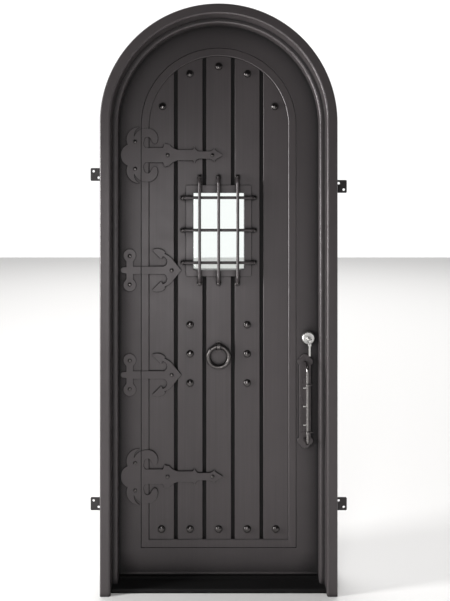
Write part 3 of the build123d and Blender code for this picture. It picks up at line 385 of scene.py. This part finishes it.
# painted shade: a darker copy of the frame's colour, and an occlusion reach of 12 cm that darkens the leaf
# towards the frame
leaf_enamel = enamel("leaf enamel", leaf_shaded_black, roughness=0.45, peel=0.22, streaks=0.05, crease=0.12,
                     painted_shade_start=0.52)
for node in ("stile_hinge_side", "stile_lock_side", "arch_rail", "bottom_rail", "edge_plate", "inner_skin"):
    dress(node, leaf_enamel)


# Panel: a flat arched border and five bevelled boards with open grooves between them, folded
# from sheet and welded over a backing sheet. The spray lies in fine streaks down the boards.
# painted shade: the backing that shows in the grooves is made near-black and matt, in place of the shade that
# falls in them
groove_shade_black = (0.004, 0.004, 0.004)
board_enamel = enamel("board enamel", bronze_black, roughness=0.42, peel=0.22, streaks=0.09, crease=0.025)
groove_painted_shade = enamel("groove painted shade", groove_shade_black, roughness=0.62, peel=0.25)
dress("panel_backing", groove_painted_shade)
for node in ("panel_border", "board_1", "board_2", "board_3", "board_4", "board_5"):
    dress(node, board_enamel)


# Drip strip and sweep: a folded strip welded across the foot of the leaf throws rain off the
# threshold, and a rubber sweep under the leaf closes on it.
dress("drip_strip", leaf_enamel)
dress("door_sweep", seal_rubber)


# Forged straps: two long scrolled ones and two short anchor-ended ones, cut from 3 mm plate,
# hammered and filed at the edges, and nailed across the seam of the panel.
strap_enamel = enamel("strap enamel", bronze_black, roughness=0.42, peel=0.20, hammer=0.10, edge=0.0005,
                      crease=0.012)
for node in ("strap_top", "strap_upper_middle", "strap_lower_middle", "strap_bottom"):
    refine(node, "leaf", strap_enamel, edge=0.0005)


# Nails: round forged heads of rubbed iron. The large ones stud the boards and the small ones
# pin the straps. Each is a little different from the next.
def dome_tree():
    """Hammered domes on every point, closed across the foot. A fullness below one swells the sides."""
    dent_level = 0.72
    tree, given = begin_fixings("domed nails", ("Diameter", "Height", "Blows", "Fullness"))
    ball = wire(tree, "GeometryNodeMeshUVSphere", {}, {"Segments": 28, "Rings": 20, "Radius": 1.0})
    at = wire(tree, "ShaderNodeSeparateXYZ", {}, {0: tree.nodes.new("GeometryNodeInputPosition").outputs[0]})
    up = reckon(tree, "MAXIMUM", at.outputs[2], 0.0)
    full = reckon(tree, "POWER", up, given["Fullness"])
    tall = reckon(tree, "MULTIPLY", full, given["Height"])
    half = reckon(tree, "MULTIPLY", given["Diameter"], 0.5)
    wide = reckon(tree, "MULTIPLY", at.outputs[0], half)
    deep = reckon(tree, "MULTIPLY", at.outputs[1], half)
    dome = wire(tree, "GeometryNodeSetPosition", {},
                {"Geometry": ball.outputs[0], "Position": triple(tree, wide, deep, tall)})
    spin = wire(tree, "FunctionNodeRandomValue", {"data_type": "FLOAT"}, {"Min": 0.0, "Max": 6.28, "Seed": 3})
    turned = wire(tree, "FunctionNodeRotateEuler", {"space": "LOCAL"},
                  {0: triple(tree, x=pi / 2), 1: triple(tree, z=spin.outputs[1])})
    placed = wire(tree, "GeometryNodeInstanceOnPoints", {},
                  {"Points": given["Seats"], "Instance": dome.outputs[0], "Rotation": turned.outputs[0]})
    real = wire(tree, "GeometryNodeRealizeInstances", {}, {0: placed.outputs[0]})
    dents = wire(tree, "ShaderNodeTexNoise", {}, {"Scale": 210.0, "Detail": 1.0}).outputs["Fac"]
    push = reckon(tree, "MULTIPLY", reckon(tree, "SUBTRACT", dents, dent_level), given["Blows"])
    outwards = tree.nodes.new("GeometryNodeInputNormal").outputs[0]
    shift = wire(tree, "ShaderNodeVectorMath", {"operation": "SCALE"}, {0: outwards, "Scale": push})
    beaten = wire(tree, "GeometryNodeSetPosition", {},
                  {"Geometry": real.outputs[0], "Offset": shift.outputs[0]})
    return end_fixings(tree, beaten.outputs[0], given["Finish"])


# painted shade: the enamel's ambient occlusion blends each head to black round its foot, giving dark rims
nail_iron = enamel("rubbed nail iron", (0.090, 0.084, 0.083), roughness=0.21, peel=0.05, hammer=0.05,
                   edge=0.0003, crease=0.05, metal=1.0, painted_shade_start=0.68)
nail_blows = 0.0008
domes = dome_tree()


def forge_heads(name, node, fullness):
    """Forged heads in place of the plain caps of a node, each on the cap's own seat."""
    caps = solids_of(node)
    seats = [((low.x + high.x) / 2, high.y, (low.z + high.z) / 2) for low, high in caps]
    low, high = caps[0]
    grow(name, domes, seats,
         {"Diameter": high.x - low.x, "Height": high.y - low.y, "Blows": nail_blows, "Fullness": fullness,
          "Finish": nail_iron}, "leaf", stands_for=node, crease=50.0)


forge_heads("clavo_heads", "clavos", fullness=0.9)
forge_heads("strap_nail_heads", "strap_nails", fullness=0.8)


# Window: a flat rectangular surround on the boards, and a sheet steel sleeve that lines the
# opening through the leaf.
window_enamel = enamel("window enamel", bronze_black, roughness=0.38, peel=0.18, edge=0.0008)
refine("window_surround", "leaf", window_enamel, edge=0.0009)
dress("window_sleeve", window_enamel)


# Grille: six round iron bars, the uprights lying over the crossbars. Their ends are bent back
# to the boards, flattened into round pads, and nailed with one domed nail each.
bar_enamel = enamel("bar enamel", bronze_black, roughness=0.34, peel=0.14, hammer=0.10, edge=0.0008)
for node in ("grille_uprights", "grille_crossbars"):
    refine(node, "leaf", bar_enamel, edge=0.0005, crease=40.0)
pad_radius = 0.011
pad_thickness = 0.004
upright_low, upright_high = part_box("grille_uprights")
cross_low, cross_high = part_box("grille_crossbars")
pad_face = upright_high[1] - pad_thickness
upright_rows = (upright_low[2] + pad_radius, upright_high[2] - pad_radius)
upright_columns = (upright_low[0] + pad_radius, 0.0, upright_high[0] - pad_radius)
cross_middle = (cross_low[2] + cross_high[2]) / 2
cross_rows = (cross_low[2] + pad_radius, cross_middle, cross_high[2] - pad_radius)
cross_columns = (cross_low[0] + pad_radius, cross_high[0] - pad_radius)
pad_seats = [(x, pad_face, z) for x in upright_columns for z in upright_rows]
pad_seats += [(x, pad_face, z) for x in cross_columns for z in cross_rows]
grow("grille_nail_heads", domes, pad_seats,
     {"Diameter": 0.019, "Height": 0.0075, "Blows": nail_blows, "Fullness": 0.8, "Finish": nail_iron},
     "leaf", crease=50.0)


# Ring knocker: a plain round ring of rubbed iron that hangs from a bored staple. The staple
# stands on the middle board on a rounded foot above and below the ring.
ring_iron = enamel("rubbed ring iron", (0.115, 0.107, 0.105), roughness=0.34, peel=0.10, hammer=0.08,
                   edge=0.0008, metal=1.0)
refine("knocker_staple", "leaf", ring_iron, edge=0.0007)
refine("knocker_ring", "knocker", ring_iron, edge=0.0)


# Lock, outside: a bright domed cylinder rose, its plug and the key left in it, with the spare
# key on the split ring. All of it is polished and plated, with faint wipe marks.
plating_color, plating_roughness = (0.86, 0.85, 0.83), 0.26
bright_plating, tree, shader, place = new_finish("bright plating")
wipes = noise(tree, place, Scale=130.0, Detail=6.0, Roughness=0.7)
feed(tree, shader, {
    "Base Color": blend(tree, wipes, shade(plating_color, 1.0), shade(plating_color, 0.90)),
    "Roughness": ranged(tree, wipes, plating_roughness - 0.04, plating_roughness + 0.10),
    "Normal": relief(tree, wipes, Strength=0.05, Distance=0.0003, Normal=eased(tree, 0.0004)),
    "Metallic": 1.0})
refine("lock_rose", "leaf", bright_plating, edge=0.0006)
refine("lock_plug", "plug", bright_plating, edge=0.0003)
refine("key", "plug", bright_plating, edge=0.0003)
refine("spare_key_and_ring", "plug", bright_plating, edge=0.0002)


# Lock, inside: a steel case and its bolt, which are let into the stile, and a painted rose
# that is held by a screw on each side of the thumb turn.
case_steel = bare_steel("case steel", (0.46, 0.45, 0.43), roughness=0.34, fineness=1300.0)
dress("lock_case", case_steel)
refine("lock_bolt", "bolt", pin_steel, edge=0.0008)
refine("turn_rose", "leaf", window_enamel, edge=0.0008)
refine("thumb_turn", "turn", window_enamel, edge=0.0012)
rose_screw_inset = 0.0055
rose_low, rose_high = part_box("turn_rose")
rose_middle = (rose_low[2] + rose_high[2]) / 2
rose_columns = (rose_low[0] + rose_screw_inset, rose_high[0] - rose_screw_inset)
grow("turn_rose_screws", screws, [(x, rose_high[1], rose_middle) for x in rose_columns],
     {"Head diameter": 0.0065, "Head height": 0.0006, "Slot width": 0.0009,
      "Facing": (-pi / 2, 0.0, 0.0), "Finish": case_steel}, "leaf")


# Pulls: a lobed back plate and a bent round grip with two collars and drawn thorns, one pair
# outside and one inside. Bright pegs stand on the outside grip.
plate_enamel = enamel("pull enamel", bronze_black, roughness=0.28, peel=0.12, hammer=0.10, edge=0.0008)
grip_iron = enamel("rubbed pull iron", (0.20, 0.19, 0.187), roughness=0.20, peel=0.06, hammer=0.10,
                   edge=0.0008, metal=1.0)
for side in ("outside", "inside"):
    refine("pull_plate_" + side, "leaf", plate_enamel, edge=0.0006)
for side in ("outside", "inside"):
    refine("pull_grip_" + side, "leaf", grip_iron, edge=0.0007, crease=36.0)
refine("pull_pegs", "leaf", bright_plating, edge=0.0004)


# Casement: a small glazed steel frame that swings behind the grille on two barrel hinges, with
# a seal round the window and a turning latch on a post. The glass is clear and slightly wavy.
refine("casement_frame", "casement", window_enamel, edge=0.0008)
refine("casement_hinge_halves", "casement", hinge_enamel, edge=0.0004)
refine("casement_hinge_leaf_halves", "leaf", hinge_enamel, edge=0.0004)
dress("casement_pins", pin_steel)
dress("window_seal", seal_rubber)
refine("latch_post", "leaf", pin_steel, edge=0.0005)
refine("latch_button", "latch", window_enamel, edge=0.0008)

glass, tree, shader, place = new_finish("window glass")
waves = noise(tree, place, Scale=5.0, Detail=1.0)
feed(tree, shader, {"Base Color": (0.93, 0.97, 0.95, 1.0), "Transmission Weight": 1.0, "Roughness": 0.0,
                    "IOR": 1.45, "Normal": relief(tree, waves, Strength=0.04, Distance=0.001)})
dress("casement_glass", glass)


# Floor, light and camera: a pale floor under a studio that is bright behind the door and dim
# in front of it, with soft lights from the left, the front, the right and above, and the
# camera square on at the photograph's own place.
floor_reach = 14
corners = [(-floor_reach, -floor_reach, 0), (floor_reach, -floor_reach, 0),
           (floor_reach, floor_reach, 0), (-floor_reach, floor_reach, 0)]
floor_mesh = bpy.data.meshes.new("floor")
floor_mesh.from_pydata(corners, [], [(0, 1, 2, 3)])
floor = bpy.data.objects.new("floor", floor_mesh)
bpy.context.collection.objects.link(floor)
floor_finish = bpy.data.materials.new("pale floor")
floor_finish.use_nodes = True
floor_shader = floor_finish.node_tree.nodes["Principled BSDF"]
feed(floor_finish.node_tree, floor_shader, {"Base Color": (0.82, 0.81, 0.80, 1.0), "Roughness": 0.55})
floor_mesh.materials.append(floor_finish)

studio = bpy.data.worlds.new("studio")
bpy.context.scene.world = studio
studio.use_nodes = True
air = studio.node_tree
toward = wire(air, "ShaderNodeTexCoord", {}, {}).outputs["Generated"]
depth = wire(air, "ShaderNodeSeparateXYZ", {}, {0: toward}).outputs["Y"]
brightness = wire(air, "ShaderNodeValToRGB", {}, {"Fac": ranged(air, depth, 0.0, 1.0, start=-1.0)})
dim_front, bright_back = brightness.color_ramp.elements
dim_front.position, dim_front.color = 0.47, (0.055, 0.055, 0.056, 1.0)
bright_back.position, bright_back.color = 0.62, (1.0, 1.0, 1.0, 1.0)
feed(air, air.nodes["Background"], {"Color": brightness.outputs["Color"], "Strength": 1.09})


def soft_light(name, place, target, width, height, power):
    """A rectangular soft light that faces a point."""
    lamp = bpy.data.lights.new(name, "AREA")
    lamp.shape = "RECTANGLE"
    lamp.size = width
    lamp.size_y = height
    lamp.energy = power
    holder = bpy.data.objects.new(name, lamp)
    bpy.context.collection.objects.link(holder)
    holder.location = place
    holder.rotation_euler = (Vector(target) - Vector(place)).to_track_quat("-Z", "Y").to_euler()
    return lamp


soft_light("open front", (-0.45, -2.6, 1.25), (-0.1, 0.0, 1.2), width=0.45, height=1.5, power=24.0)
soft_light("over floor", (0.0, 6.0, 5.5), (0.0, 6.0, 0.0), width=12.0, height=9.0, power=420.0)
forecourt = soft_light("over forecourt", (-0.3, -1.5, 3.2), (-0.3, -1.5, 0.0), width=1.4, height=1.8,
                       power=5.0)
forecourt.spread = radians(70.0)
soft_light("left strip", (-5.0, -1.0, 1.5), (0.5, 0.0, 1.2), width=0.6, height=2.6, power=400.0)
soft_light("right strip", (5.0, -1.0, 1.5), (-0.5, 0.0, 1.2), width=0.6, height=2.6, power=30.0)

lens = bpy.data.cameras.new("photograph")
lens.sensor_width = 36.0
lens.lens = 31.32
lens.shift_x = 0.0105
lens.shift_y = -0.160
viewer = bpy.data.objects.new("photograph", lens)
bpy.context.collection.objects.link(viewer)
viewer.location = (0.0, -2.275, 1.652)
viewer.rotation_euler = (radians(90.0), 0.0, 0.0)
bpy.context.scene.camera = viewer
bpy.context.scene.view_settings.view_transform = "Standard"
bpy.context.scene.view_settings.look = "None"
